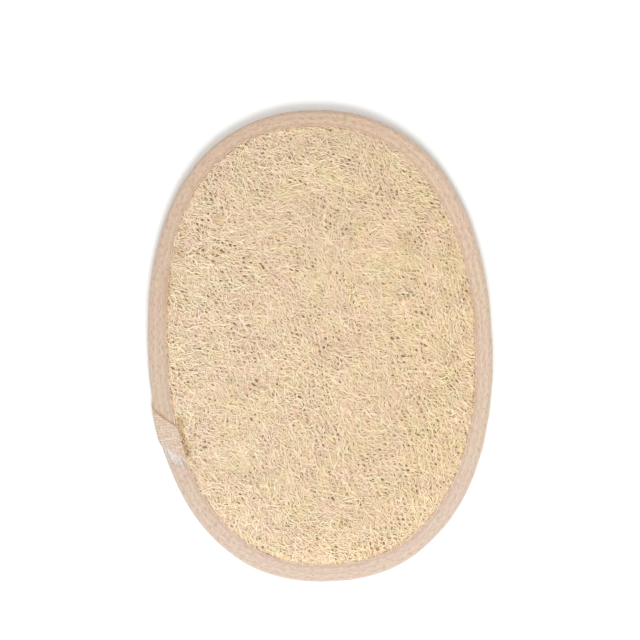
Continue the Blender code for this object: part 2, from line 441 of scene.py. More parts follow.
tapeWeave = {
    "band": 1.3,  # width of one stripe of the herringbone, in mm
    "pick": 0.66,  # distance between its slanting ridges
    "slope": 0.85,
    "pink": (0.62, 0.455, 0.38),
    "cream": (0.635, 0.52, 0.42),
    "shade": (0.36, 0.25, 0.18),
    "rosy": (1.0, 0.95, 0.97),
    "sandy": (0.97, 1.0, 0.95),
    # the brown of the painted shadow above the join's fold and of the painted shade in the seam's
    # crease and along the front edge
    "shadowBrown": (0.46, 0.26, 0.10),
    "low": (0.97, 1.0, 1.0),  # painted light and shade: the tape is paler at the bottom of the pad, towards the key light, than at its top
    "high": (0.97, 0.92, 0.84),
    # painted light: the tape is lighter at the upper right, against the shade that falls there
    "upperRight": (1.08, 1.10, 1.09),
    "left": (0.955, 0.965, 0.97),
}


def tapeMaterial(name, pink, cream, shade):
    # herringbone cotton: stripes along the tape with slanting ridges that turn at each stripe
    material, tree, shader, place = newMaterial(name, 0.85)
    shader.inputs["Sheen Weight"].default_value = 0.25
    shader.inputs["Sheen Roughness"].default_value = 0.5
    weave = addNode(tree, "ShaderNodeUVMap", uv_map="weave").outputs["UV"]
    parts = addNode(tree, "ShaderNodeSeparateXYZ", {0: weave})
    along, across = parts.outputs["X"], parts.outputs["Y"]
    zigzag = addMath(tree, "PINGPONG", across, tapeWeave["band"])
    slanted = addMath(tree, "ADD", along, addMath(tree, "MULTIPLY", zigzag, tapeWeave["slope"]))
    ridge = addMath(tree, "SINE", addMath(tree, "MULTIPLY", slanted, math.tau / tapeWeave["pick"]))
    stripe = addMath(tree, "SINE", addMath(tree, "MULTIPLY", across, math.pi / tapeWeave["band"]))
    fuzz = addNoise(tree, place, 2500.0, 3.0)
    inputs = {"Vector": weave, "Scale": (0.4, 1.1, 1.0)}
    stretched = addNode(tree, "ShaderNodeMapping", inputs).outputs["Vector"]
    speck = scaleValue(tree, addNoise(tree, stretched, 1.3, 4.0), 3.6, -1.65)
    colour = mixColours(tree, scaleValue(tree, stripe, 0.5, 0.5), pink, cream)
    # painted shade: the colour is darker in the grooves between the weave's slanting ridges
    groove = addMath(tree, "MULTIPLY", addMath(tree, "SUBTRACT", 1.0, ridge), 0.12)
    colour = mixColours(tree, groove, colour, shade)
    colour = mixColours(tree, addMath(tree, "MULTIPLY", speck, 0.75), colour, shade)
    cloud = scaleValue(tree, addNoise(tree, place, 90.0, 2.0), 2.4, -0.7)
    cast = mixColours(tree, cloud, tapeWeave["rosy"], tapeWeave["sandy"])
    colour = mixColours(tree, 1.0, colour, cast, "MULTIPLY")
    # painted light and shade: the tape's colour is paler towards the bottom of the pad and darker
    # towards its top
    upward = shareAlong(tree, place, "Y", -85 * mm, 85 * mm)
    cast = mixColours(tree, upward, tapeWeave["low"], tapeWeave["high"])
    colour = mixColours(tree, 1.0, colour, cast, "MULTIPLY")
    # painted light: the colour is lifted at the upper right of the tape, against the shade there
    corner = addMath(tree, "MULTIPLY", upward, shareAlong(tree, place, "X", 10 * mm, 50 * mm))
    colour = mixColours(tree, corner, colour, tapeWeave["upperRight"], "MULTIPLY")
    left = shareAlong(tree, place, "X", -40 * mm, -62 * mm)
    colour = mixColours(tree, left, colour, tapeWeave["left"], "MULTIPLY")
    # painted shade in the grooves between the ridges across the join
    colour = mixColours(tree, addAttribute(tree, "valley"), colour, shade)
    # painted shadow and shade in brown: above the join's fold, in the seam's crease, along the front
    # edge, and in the grooves and fold of the join itself
    colour = mixColours(tree, addAttribute(tree, "brownAndShade"), colour, tapeWeave["shadowBrown"])
    tree.links.new(colour, shader.inputs["Base Color"])
    height = addMath(tree, "ADD", addMath(tree, "MULTIPLY", ridge, 0.5), fuzz)
    addBump(tree, shader, height, 0.6, 0.12 * mm)
    return material


def threadMaterial():
    # spun cotton thread with a slanting twist
    material, tree, shader, place = newMaterial("cottonThread", 0.7)
    shader.inputs["Sheen Weight"].default_value = 0.3
    stops = [(0.0, (0.52, 0.38, 0.28)), (1.0, (0.94, 0.88, 0.82))]
    colour = addRamp(tree, addAttribute(tree, "tint"), stops)
    tree.links.new(colour, shader.inputs["Base Color"])
    addBump(tree, shader, addNoise(tree, place, 3000.0, 2.0), 0.4, 0.08 * mm)
    return material


def terryMaterial(name, pale, deep):
    material, tree, shader, place = newMaterial(name, 0.95)
    shader.inputs["Sheen Weight"].default_value = 0.35
    lint = addNoise(tree, place, 1500.0, 4.0)
    loop = addNode(tree, "ShaderNodeTexVoronoi", {"Vector": place, "Scale": 620.0}).outputs["Distance"]
    gap = addMath(tree, "MULTIPLY", loop, 0.9)
    height = addMath(tree, "SUBTRACT", addMath(tree, "MULTIPLY", lint, 0.6), gap)
    # the colour follows the relief, darker in its low places: painted shade between the loops, over the
    # lint's own tone
    colour = addRamp(tree, height, [(0.0, deep), (0.25, pale)])
    tree.links.new(colour, shader.inputs["Base Color"])
    addBump(tree, shader, height, 0.9, 0.35 * mm)
    return material


fibreMaterial = loofahMaterial()
groundMaterial = matMaterial()
cottonTape = tapeMaterial("cottonTape", tapeWeave["pink"], tapeWeave["cream"], tapeWeave["shade"])
paleTape = tapeMaterial("paleTape", (0.785, 0.625, 0.53), (0.795, 0.665, 0.56), (0.43, 0.32, 0.23))
cottonThread = threadMaterial()
terryCloth = terryMaterial("terryGround", (0.80, 0.70, 0.56), (0.62, 0.50, 0.37))
terryYarn = terryMaterial("terryLoops", (0.90, 0.82, 0.70), (0.78, 0.67, 0.53))
print("materials made")


# the loofah: a packed mat under a net of fibres

mat = {
    "netEdge": 7.55 * mm,  # where the loofah starts, beside the tape
    "edgeHeight": 7.6 * mm,
    "crownHeight": 11.8 * mm,
    "crownRun": 18.1 * mm,
    "creaseDepth": 0.2 * mm,  # how far the loofah dips where it meets the tape
    "creaseRun": 0.9 * mm,
    "swell": 0.45 * mm,
    "groundDepth": 0.6 * mm,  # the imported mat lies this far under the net, away from the tape
    "rimInset": 2.4 * mm,
    "rimTop": 5.35 * mm,
    "floor": 3.8 * mm,
    "columns": 360,
}
swellField = wavyField(3, 14, 16 * mm, 45 * mm)


def netReach(x, y):
    # how far in from the tape a point of the loofah lies
    return insetOf(x, y) - mat["netEdge"] - edgeShift(np.arctan2(y, x))


def matHeight(x, y):
    run = netReach(x, y) / mat["crownRun"]
    share = np.sin(math.pi / 2 * np.clip(run, 0, 1))
    rise = mat["crownHeight"] - mat["edgeHeight"]
    crease = np.exp(-np.maximum(run, 0) * mat["crownRun"] / mat["creaseRun"])
    swell = mat["swell"] * swellField(x, y) * share
    return mat["edgeHeight"] + rise * share + swell - mat["creaseDepth"] * crease


# the net's meshes: long narrow pits between bundles of fibre

net = {
    "angle": math.radians(-45),
    "gather": 0.5 * mm,  # how far fibres are drawn away from the pits
    "pitDepth": 0.6 * mm,
    "pitLevel": -1.3,  # the net is open where it is lower than this
    "pitRise": 0.35,  # how much lower it is well inside a pit
    "gatherFrom": 0.3,  # fibres gather from this far above the pits' level
    "pitWidth": (1.7 * mm, 2.6 * mm),
    "pitLength": (2.8 * mm, 5.0 * mm),
    "waves": 30,
}
netDraw = np.random.default_rng(21)
netAcross = math.tau / netDraw.uniform(*net["pitWidth"], net["waves"])
netAlong = math.tau / netDraw.uniform(*net["pitLength"], net["waves"])
netAlong *= netDraw.choice([-1, 1], net["waves"])
netStart = netDraw.uniform(0, math.tau, net["waves"])
netBend = wavyField(9, 10, 30 * mm, 70 * mm)


def netField(x, y):
    # height of the net, low in its pits, and its slope along x and y
    cos, sin = math.cos(net["angle"]), math.sin(net["angle"])
    along = x * cos + y * sin
    across = y * cos - x * sin + 3.0 * mm * netBend(x, y)
    height, slopeAlong, slopeAcross = 0, 0, 0
    for a, b, s in zip(netAlong, netAcross, netStart):
        phase = a * along + b * across + s
        height = height + np.sin(phase)
        slopeAlong = slopeAlong + np.cos(phase) * a
        slopeAcross = slopeAcross + np.cos(phase) * b
    scale = math.sqrt(2 / net["waves"])
    slopeX = (slopeAlong * cos - slopeAcross * sin) * scale
    slopeY = (slopeAlong * sin + slopeAcross * cos) * scale
    return height * scale, slopeX, slopeY


def pitShare(height):
    # 0 between the pits, rising to 1 well inside them
    return np.clip((net["pitLevel"] - height) / net["pitRise"], 0, 1)


def gatherFibres(x, y):
    # fibres near a pit slide uphill out of it, so they bundle round it
    height, slopeX, slopeY = netField(x, y)
    reach = net["gather"] * sum(net["pitWidth"]) / 2 / math.tau * pitShare(height - net["gatherFrom"])
    return x + slopeX * reach, y + slopeY * reach


flow = {
    "angle": math.radians(-48),
    "drift": math.radians(15),
    "ripple": math.radians(18),
    "levelTurn": math.radians(18),  # the fibres lie flatter towards the upper left
}
driftField = wavyField(5, 12, 28 * mm, 60 * mm)
rippleField = wavyField(6, 24, 5 * mm, 11 * mm)


def flowAngle(x, y):
    level = np.clip((y - x) / (110 * mm), 0, 1) * flow["levelTurn"]
    return flow["angle"] + level + flow["drift"] * driftField(x, y) + flow["ripple"] * rippleField(x, y)


def nearLoofah(x, y):
    # above 0 on the loofah and up to 2 mm under the tape
    return netReach(x, y) + 2.0 * mm


evenSteps = (0.7548776662, 0.5698402910)  # places at these steps never line up


def evenPlaces(count, start, reachIn):
    # places spread evenly over one side of the pad, not on a grid
    places = np.arange(start, start + 3 * count)
    x = ((0.5 + places * evenSteps[0]) % 1 * 2 - 1) * outline["halfWidth"]
    y = ((0.5 + places * evenSteps[1]) % 1 * 2 - 1) * outline["halfLength"]
    inside = reachIn(x, y) > 0
    return x[inside][:count], y[inside][:count]


fibreCount = 3250  # in each of the four layers


def traceFibres(settings):
    draw = np.random.default_rng(settings["seed"])
    x, y = evenPlaces(fibreCount, settings["seed"] * 9973, nearLoofah)
    count = len(x)
    rings = settings["segments"] + 1
    lean = settings["turn"] * draw.choice([-1, 1], count) + draw.normal(0, settings["spread"], count)
    wander = draw.uniform(0, math.tau, count)
    pitch = draw.uniform(0.45, 0.9, count)
    step = settings["step"] * draw.uniform(0.75, 1.2, count)
    paths = np.zeros((count, rings, 3))
    middle = rings // 2
    for way, last in ((1, rings), (-1, -1)):
        px, py = x.copy(), y.copy()
        for ring in range(middle, last, way):
            paths[:, ring, 0] = px
            paths[:, ring, 1] = py
            heading = flowAngle(px, py) + lean + settings["wiggle"] * np.sin(wander + pitch * ring)
            px = px + way * step * np.cos(heading)
            py = py + way * step * np.sin(heading)
    return trimFibres(paths, np.random.default_rng(settings["seed"] + 50)), draw


fibreEnds = {
    "pastEdge": (0.1, 0.8),  # how far fibres may reach over the tape's edge, in mm
    "shortest": 2.2,  # segments that a shortened fibre still has
}


def trimFibres(paths, draw):
    # a fibre that would cross the tape's edge is shortened to end there, or just over it
    count, rings, _ = paths.shape
    past = draw.uniform(*fibreEnds["pastEdge"], count)[:, None] * mm
    reach = netReach(paths[..., 0], paths[..., 1]) + past
    inside = reach > 0
    first = np.argmax(inside, axis=1).astype(float)
    last = np.full(count, rings - 1.0)
    for ring in range(rings - 1, 0, -1):
        ends = inside[:, ring - 1] & ~inside[:, ring] & (ring > first)
        cut = reach[:, ring - 1] / (reach[:, ring - 1] - reach[:, ring] + 1e-9)
        last[ends] = ring - 1 + cut[ends]
    kept = (last - first > fibreEnds["shortest"]) & inside.any(axis=1)
    paths, first, last = paths[kept], first[kept], last[kept]
    place = first[:, None] + (last - first)[:, None] * np.linspace(0, 1, rings)
    before = np.minimum(place.astype(int), rings - 2)
    share = (place - before)[..., None]
    row = np.arange(len(paths))[:, None]
    return paths[row, before] * (1 - share) + paths[row, before + 1] * share


def raiseFibres(paths, settings, draw):
    # fibres go over and under each other on the mat, and sink at the pits
    count, rings, _ = paths.shape
    x, y = gatherFibres(paths[..., 0], paths[..., 1])
    height, _, _ = netField(x, y)
    level = draw.uniform(*settings["level"], count)[:, None]
    phase = draw.uniform(0, math.tau, count)[:, None] + np.arange(rings) * settings["weavePitch"]
    weave = settings["weave"] * np.sin(phase)
    pit = net["pitDepth"] * pitShare(height)
    paths[..., 0] = x
    paths[..., 1] = y
    paths[..., 2] = matHeight(x, y) + level + weave - pit
    return paths


brownPlaces = [  # brown places beside the join of the tape, the first six partly painted shade in the groove along the join: x, y and reach in mm, and strength
    (-57.9, -27.7, 1.9, 0.6),
    (-57.2, -30.6, 1.3, 0.45),
    (-57.2, -33.0, 1.5, 0.5),
    (-56.4, -36.0, 1.6, 0.65),
    (-55.6, -39.0, 1.6, 0.7),
    (-54.8, -41.8, 1.4, 0.5),
    (62.2, -22.7, 1.6, 0.6),
    (60.5, 18.5, 2.0, 0.25),
    (36.5, 39.1, 3.5, 0.22),
    (-38.4, 52.5, 1.6, 0.4),
    (-56.6, 41.6, 1.3, 0.3),
    (-58.6, 30.5, 2.0, 0.35),
    (-59.6, 25.0, 1.8, 0.3),
    (-60.6, 19.2, 1.8, 0.35),
    (-54.2, 39.1, 2.6, 0.3),
]
borderField = wavyField(8, 14, 2.5 * mm, 9 * mm)


def brownAndShadeShare(x, y):
    # the loofah is browner in a few places, and darker in a broken line along the tape, which is
    # painted shade in the crease where they meet
    share = 0
    for placeX, placeY, reach, strength in brownPlaces:
        away = np.hypot(x / mm - placeX, y / mm - placeY)
        share = share + strength * np.exp(-(away / reach) ** 2)
    # painted shade along the crease where the loofah meets the tape, fading out towards the top of the
    # pad
    border = np.exp(-(np.maximum(netReach(x, y), 0) / (0.7 * mm)) ** 2)
    border = border * np.clip((40 * mm - y) / (20 * mm), 0, 1)
    share = share + border * np.clip(0.08 + 0.22 * borderField(x, y), 0, 0.4)
    return np.clip(share, 0, 0.9)


def layFibres(name, settings):
    paths, draw = traceFibres(settings)
    paths = raiseFibres(paths, settings, draw)
    count = len(paths)
    radius = draw.uniform(*settings["radius"], count)
    up = np.array([0, 0, 1.0])
    strand = modelStrand(3, settings["segments"], 0.45)
    piece = bendCopies(name, strand, paths, radius, up, fibreMaterial, 0.7)
    tint = np.clip(draw.normal(settings["tint"], 0.10, count), 0, 1)
    paint(piece, "tint", np.repeat(tint, len(strand["corners"])))
    places = np.empty(3 * len(piece.data.vertices), np.float32)
    piece.data.vertices.foreach_get("co", places)
    paint(piece, "brownAndShade", brownAndShadeShare(places[0::3], places[1::3]))
    # painted shade, with the inner fibre's brown, where the fibres cross and sink into the pits
    paint(piece, "pit", pitShare(netField(places[0::3], places[1::3])[0]))
    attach(piece, "root")
    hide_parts("loofah_mat")
    print(name, count, "fibres")


# each layer's tint is lower the deeper it lies: partly the browner inner fibre, partly painted shade
# under the layers above
fibres = {
    "deepFibres": {
        "seed": 31, "segments": 8, "step": 1.05 * mm, "turn": math.radians(28),
        "spread": math.radians(25), "wiggle": 0.4, "level": (-0.6 * mm, -0.25 * mm),
        "weave": 0.12 * mm, "weavePitch": 1.5, "radius": (0.20 * mm, 0.30 * mm), "tint": 0.42,
    },
    "netFibres": {
        "seed": 32, "segments": 9, "step": 0.95 * mm, "turn": 0.0,
        "spread": math.radians(18), "wiggle": 0.45, "level": (-0.4 * mm, 0.05 * mm),
        "weave": 0.2 * mm, "weavePitch": 1.7, "radius": (0.20 * mm, 0.30 * mm), "tint": 0.55,
    },
    "crossFibres": {
        "seed": 33, "segments": 9, "step": 0.75 * mm, "turn": math.radians(40),
        "spread": math.radians(18), "wiggle": 0.6, "level": (-0.35 * mm, 0.05 * mm),
        "weave": 0.2 * mm, "weavePitch": 1.9, "radius": (0.17 * mm, 0.25 * mm), "tint": 0.56,
    },
    "topFibres": {
        "seed": 34, "segments": 9, "step": 0.85 * mm, "turn": 0.0,
        "spread": math.radians(24), "wiggle": 0.6, "level": (-0.1 * mm, 0.25 * mm),
        "weave": 0.22 * mm, "weavePitch": 2.0, "radius": (0.17 * mm, 0.26 * mm), "tint": 0.64,
    },
}


def buildMat():
    angles, _ = evenAngles(mat["columns"], mat["netEdge"])
    angles = angles[:-1]
    rings = [padPoint(angles, mat["rimInset"], height) for height in (mat["floor"], mat["rimTop"])]
    edge = mat["netEdge"] + edgeShift(angles)
    for reach in (-0.5 * mm, 0, 0.5 * mm, 1.4 * mm, 2.7 * mm, 4.7 * mm, 7.3 * mm):
        rings.append(padPoint(angles, edge + reach, 0))
    inner = rings[-1]
    for share in np.linspace(1, 0.02, 26)[1:]:
        rings.append(inner * share)
    points = np.array(rings)
    x, y = points[2:, :, 0], points[2:, :, 1]
    height, _, _ = netField(x, y)
    depth = np.interp(netReach(x, y), [0.3 * mm, 2.0 * mm], [0.3 * mm, mat["groundDepth"]])
    points[2:, :, 2] = matHeight(x, y) - depth + 0.2 * mm * height
    points[2, :, 2] = mat["rimTop"] + 0.4 * mm
    piece = addShell("loofahMat", points, groundMaterial)
    paint(piece, "brownAndShade", brownAndShadeShare(points[..., 0], points[..., 1]))
    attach(piece, "root")
    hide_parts("loofah_mat")


def findPits():
    # the deepest places of the net, found on a fine grid
    step = 0.3 * mm
    width, length = outline["halfWidth"], outline["halfLength"]
    x, y = np.meshgrid(np.arange(-width, width, step), np.arange(-length, length, step))
    height = netField(x, y)[0]
    middle = height[1:-1, 1:-1]
    deepest = (middle < pits["level"]) & (netReach(x, y)[1:-1, 1:-1] > 0.5 * mm)
    rows, columns = middle.shape
    for down in range(3):
        for right in range(3):
            if (down, right) != (1, 1):
                deepest &= middle < height[down:down + rows, right:right + columns]
    x, y, height = x[1:-1, 1:-1][deepest], y[1:-1, 1:-1][deepest], middle[deepest]
    kept = []
    for index in np.argsort(height):
        if not kept or np.min(np.hypot(x[kept] - x[index], y[kept] - y[index])) > pits["apart"]:
            kept.append(index)
    return x[kept], y[kept], height[kept]


pits = {
    "level": -1.3,
    "apart": 1.95 * mm,
    "besideJoin": [(-57.0, -32.3), (-56.4, -34.6), (-56.8, -37.2), (-55.8, -39.0), (-55.1, -41.2)],
    "length": 1.9 * mm,
    "radius": (0.34 * mm, 0.52 * mm),
    "depth": 0.5 * mm,
    "depthBesideJoin": -0.1 * mm,  # these lie just over the net
    "levelBesideJoin": -2.2,
}


def layPitFloors():
    # the brown inner fibre that shows through the net's deepest meshes and beside the tape's join,
    # painted dark with the pit colour, which in the deep meshes is partly painted shade
    x, y, height = findPits()
    shallow = np.array(pits["besideJoin"]) * mm
    depth = [pits["depth"]] * len(x) + [pits["depthBesideJoin"]] * len(shallow)
    depth = np.array(depth)[:, None]
    x, y = np.append(x, shallow[:, 0]), np.append(y, shallow[:, 1])
    height = np.append(height, np.full(len(shallow), pits["levelBesideJoin"]))
    draw = np.random.default_rng(35)
    count = len(x)
    turn = flowAngle(x, y) + draw.normal(0, 0.25, count)
    length = pits["length"] * draw.uniform(0.7, 1.2, count) * np.clip(-height / 2, 0.8, 1.3)
    step = np.linspace(-0.5, 0.5, 4)[None, :]
    paths = np.zeros((count, 4, 3))
    paths[..., 0] = x[:, None] + length[:, None] * step * np.cos(turn)[:, None]
    paths[..., 1] = y[:, None] + length[:, None] * step * np.sin(turn)[:, None]
    paths[..., 2] = matHeight(paths[..., 0], paths[..., 1]) - depth
    radius = draw.uniform(*pits["radius"], count)
    strand = modelStrand(3, 3, 0.35)
    piece = bendCopies("pitFibres", strand, paths, radius, np.array([0, 0, 1.0]), fibreMaterial, 0.3)
    share = draw.uniform(0.6, 1.05, count)
    paint(piece, "tint", np.full(len(piece.data.vertices), 0.4))
    paint(piece, "brownAndShade", np.zeros(len(piece.data.vertices)))
    paint(piece, "pit", np.repeat(share, len(strand["corners"])))
    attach(piece, "root")
    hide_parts("loofah_mat")
    print("pitFibres", count)


buildMat()
for name, settings in fibres.items():
    layFibres(name, settings)
layPitFloors()
print("loofah laid")


# the cotton tape folded over the edge

tape = {
    "thickness": 0.9 * mm,
    "frontEdge": (7.5 * mm, 7.3 * mm),
    "backEdge": (8.3 * mm, 1.45 * mm),
    "foldInset": 2.6 * mm,
    "foldTop": 6.75 * mm,
    "foldFloor": 1.5 * mm,
    "seam": 1.4 * mm,  # from the stitches to the tape's front edge
    "spare": 1.2 * mm,  # the most that the edges wander
    "creaseDepth": 0.32 * mm,
    "creaseWidth": 0.42 * mm,
    "ribDepth": 0.05 * mm,
    "pucker": 0.16 * mm,
    "lengthInset": 4 * mm,  # where the tape's length is measured
    "columns": 720,
    "underRows": 10,
}
tapeAngles, tapePlaces = evenAngles(tape["columns"], tape["lengthInset"])


def tapeSection():
    # the tape's outer side as inset and height, from its front edge over the fold to the back
    middle = (tape["foldTop"] + tape["foldFloor"]) / 2
    rise = (tape["foldTop"] - tape["foldFloor"]) / 2
    frontInset, frontHeight = tape["frontEdge"]
    backInset, backHeight = tape["backEdge"]
    frontInset += tape["spare"]
    backInset += tape["spare"]
    points = []
    for share in np.linspace(0, 1, 40)[:-1]:
        bow = 0.25 * mm * math.sin(share * math.pi)
        points.append((
            frontInset + share * (tape["foldInset"] - frontInset),
            frontHeight + share * (tape["foldTop"] - frontHeight) + bow,
        ))
    for turn in np.linspace(0, math.pi, 40)[:-1]:
        points.append((tape["foldInset"] * (1 - math.sin(turn)), middle + rise * math.cos(turn)))
    for share in np.linspace(0, 1, 40):
        points.append((
            tape["foldInset"] + share * (backInset - tape["foldInset"]),
            tape["foldFloor"] + share * (backHeight - tape["foldFloor"]),
        ))
    return np.array(points)


section = tapeSection()
sectionSteps = np.linalg.norm(np.diff(section, axis=0), axis=1)
sectionReach = np.concatenate([[0], np.cumsum(sectionSteps)])
tapeHalf = sectionReach[-1] / 2 - tape["spare"]
sectionReach = sectionReach - sectionReach[-1] / 2
sectionAhead = np.gradient(section, axis=0)
sectionAhead /= np.linalg.norm(sectionAhead, axis=1, keepdims=True)
sectionOut = np.stack([sectionAhead[:, 1], -sectionAhead[:, 0]], -1)


def tapePoint(angle, across, lift):
    # a point at this place across the tape, lifted off its outer side
    reach = across - edgeShift(angle)
    inset = np.interp(reach, sectionReach, section[:, 0])
    height = np.interp(reach, sectionReach, section[:, 1])
    outInset = np.interp(reach, sectionReach, sectionOut[:, 0])
    outHeight = np.interp(reach, sectionReach, sectionOut[:, 1])
    return padPoint(angle, inset + outInset * lift, height + outHeight * lift)


def seamAcross(angle, front):
    # where the seam crosses the tape: the needle goes straight through, from front to back
    if front:
        return np.full_like(angle, tape["seam"] - tapeHalf)
    inset = tape["frontEdge"][0] + edgeShift(angle) - tape["seam"]
    leg = sectionReach > 0
    order = np.argsort(section[leg, 0])
    return np.interp(inset, section[leg, 0][order], sectionReach[leg][order]) + edgeShift(angle)


puckerField = wavyField(41, 18, 4 * mm, 13 * mm)
slackField = wavyField(42, 10, 25 * mm, 60 * mm)


def tapeRelief(angle, place, across):
    # the crease at the stitches, the puckers that they pull, and the ribs of the weave
    crease = 0
    for front in (True, False):
        away = across - seamAcross(angle, front)
        crease = crease + np.exp(-(away / tape["creaseWidth"]) ** 2)
    near = np.clip((np.abs(across) - 2.0 * mm) / (5.0 * mm), 0, 1)
    pucker = tape["pucker"] * puckerField(place, across * 0.6) * (0.25 + 0.75 * near)
    slack = 0.12 * mm * slackField(place, across)
    band = tapeWeave["band"] * mm
    rib = tape["ribDepth"] * (np.abs(np.sin(math.pi * across / band)) - 0.6)
    return pucker + slack + rib - tape["creaseDepth"] * crease


def clothLoop(halfReach, thickness, spacing, underRows):
    # reach and lift round a strip of cloth: over its outer side, and back along its inner side
    outerCount = int(round(2 * halfReach / spacing)) + 1
    outer = [(reach, 0, 1.0) for reach in np.linspace(-halfReach, halfReach, outerCount)]
    half = thickness / 2
    turns = np.radians([40, 90, 140])
    back = [(halfReach + half * math.sin(t), half * math.cos(t) - half, 0.5) for t in turns]
    inner = [(reach, -thickness, 0.0) for reach in np.linspace(halfReach, -halfReach, underRows)]
    front = [(-halfReach - half * math.sin(t), -half - half * math.cos(t), 0.5) for t in turns]
    return np.array(outer + back + inner + front)


def weaveMap(piece, rows, columns, reach, place):
    # the weave follows the tape: its length along x and its width along y, both in mm
    row = np.arange(rows)[:, None]
    column = np.arange(columns)[None, :]
    nextRow = (row + 1) % rows
    corners = [(row, column), (row, column + 1), (nextRow, column + 1), (nextRow, column)]
    pairs = [np.stack(np.broadcast_arrays(place[c], reach[r]), -1) for r, c in corners]
    pairs = np.stack(pairs, 2) / mm
    piece.data.uv_layers.new(name="weave").data.foreach_set("uv", pairs.ravel())


# the join: the tape's end lies over its start, folded at the top and frayed at the bottom

lap = {
    "start": 197.1,  # degrees round the pad, at the fold
    "end": 208.0,
    "slant": -1.31,  # run along the edge for each unit across the tape
    "thickness": 0.7 * mm,
    "gap": 0.05 * mm,
    "spare": 0.7 * mm,  # how far it reaches past the tape's front edge
    "ridge": 0.2 * mm,
    "ridgePitch": 1.05 * mm,
    "ridgeSlant": 0.36,
    "rows": 60,
    "columns": 56,
    "threads": 130,
}
lapRadius = edgeRadius(np.radians(205.0))


def lapTurn(angle, across):
    # how far round from the join's folded end a point of the tape lies, square to that end
    return angle - lap["slant"] * across / lapRadius - math.radians(lap["start"])


def lapFoldShadow(angle, across):
    # painted shadow: the tape is darker and browner just above the join's folded end, where the fold's
    # shadow falls, most of all near the fold
    away = lapTurn(angle, across) * lapRadius / mm
    beside = np.exp(-((away + 0.4) / 0.85) ** 2)
    middle = np.exp(-((across / mm + 4.2) / 1.7) ** 2)
    return 0.9 * beside * middle + 0.15 * beside * (across < 0)


# places of painted shade along the tape's front edge: degrees round the pad, reach in degrees, and
# strength
edgeShadePlaces = [
    (158, 8, 0.45),
    (8, 7, 0.35),
    (-21, 5, 0.2),
]


def seamShade(angle, across):
    # painted shade: the tape is a little darker in the crease of the seam and in places beside the
    # loofah
    away = across - seamAcross(angle, True)
    share = 0.12 * np.exp(-(away / (0.5 * mm)) ** 2)
    edge = np.exp(-((across + tapeHalf) / (2.2 * mm)) ** 2)
    for turn, reach, strength in edgeShadePlaces:
        apart = (np.degrees(angle) - turn + 180) % 360 - 180
        share = share + strength * edge * np.exp(-(apart / reach) ** 2)
    return share


def buildTape():
    angles, places = tapeAngles, tapePlaces
    reach, spacing = tapeHalf - tape["thickness"] / 2, tapeWeave["band"] * mm / 3
    loop = clothLoop(reach, tape["thickness"], spacing, tape["underRows"])
    across, lift, outer = loop[:, 0][:, None], loop[:, 1][:, None], loop[:, 2][:, None]
    relief = tapeRelief(angles[None, :-1], places[None, :-1], across)
    points = tapePoint(angles[None, :-1], across, lift + relief * outer)
    rows, columns = points.shape[:2]
    piece = addMesh("tapeBinding", points, ringFaces(rows, columns, closedRows=True), cottonTape)
    weaveMap(piece, rows, columns, loop[:, 0], places)
    fixNormals(piece)
    # painted shadow above the join's fold, and painted shade in the seam's crease and along the front
    # edge
    brownAndShade = lapFoldShadow(angles[None, :-1], across) + seamShade(angles[None, :-1], across)
    paint(piece, "brownAndShade", brownAndShade)
    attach(piece, "root")
    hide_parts("edge_binding")


buildTape()
print("tape folded round the edge")


# the join's own strip of tape

frayField = wavyField(44, 16, 0.8 * mm, 3.0 * mm)


def lapRidge(place, across):
    # the ridges that cross the join, which wander a little
    turns = (place + lap["ridgeSlant"] * across) / lap["ridgePitch"]
    return np.sin(math.tau * turns + 1.2 * frayField(across, place))


def lapPoint(share, across, lift):
    # share runs from 0 at the folded end to 1 at the frayed one
    fray = 0.35 * mm * frayField(across, 0 * across) * np.clip(share - 0.6, 0, 1) / 0.4
    start, end = math.radians(lap["start"]), math.radians(lap["end"])
    angle = start + share * (end - start) + (lap["slant"] * across + fray) / lapRadius
    place = np.interp(angle, tapeAngles, tapePlaces)
    relief = 0.5 * tapeRelief(angle, place, across)
    ridge = lap["ridge"] * lapRidge(place, across)
    return tapePoint(angle, across, lift[0] + relief * lift[1] + ridge * lift[2]), place


def buildLap():
    roundShare = 0.055  # part of the strip that the round of its folded end takes up
    share = np.concatenate([[0, 0.012, 0.03], np.linspace(roundShare, 0.985, lap["columns"]), [1.0]])
    climb = np.clip(share / roundShare, 0, 1)
    rise = np.sqrt(climb * (2 - climb))
    rise[-1] = 0.55
    half = tapeHalf - 0.35 * mm
    across = np.linspace(-half - lap["spare"], half, lap["rows"])
    both = np.concatenate([across, across[::-1]])[:, None]
    isTop = np.concatenate([np.ones(lap["rows"]), np.zeros(lap["rows"])])[:, None]
    body = isTop.copy()
    body[[0, lap["rows"] - 1]] = 0.6  # the two long edges are a little thinner
    lift = lap["gap"] + lap["thickness"] * (0.12 + 0.88 * rise)[None, :] * body
    points, place = lapPoint(share[None, :], both, (lift, 1.0, isTop * rise[None, :]))
    rows, columns = points.shape[:2]
    faces = ringFaces(rows, columns, closedRows=True, closedColumns=False).tolist()
    for end in (0, columns - 1):
        for step in range(lap["rows"] - 1):
            back = rows - 1 - step
            faces.append([line * columns + end for line in (step, step + 1, back - 1, back)])
    piece = addMesh("tapeLap", points, faces, paleTape)
    # painted shade: the join is darker in the grooves between its ridges and at its folded end
    valley = 0.5 - 0.5 * lapRidge(place, across=both)
    paint(piece, "brownAndShade", 0.12 * valley + 0.4 * np.exp(-share / 0.05)[None, :])
    paint(piece, "valley", 0.6 * valley ** 2)
    layer = piece.data.uv_layers.new(name="weave")
    corner = np.empty(len(piece.data.loops), np.int32)
    piece.data.loops.foreach_get("vertex_index", corner)
    pairs = np.stack([place.ravel(), np.broadcast_to(both, place.shape).ravel()], -1) / mm
    layer.data.foreach_set("uv", pairs[corner].ravel())
    fixNormals(piece)
    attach(piece, "root")
    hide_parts("edge_binding")


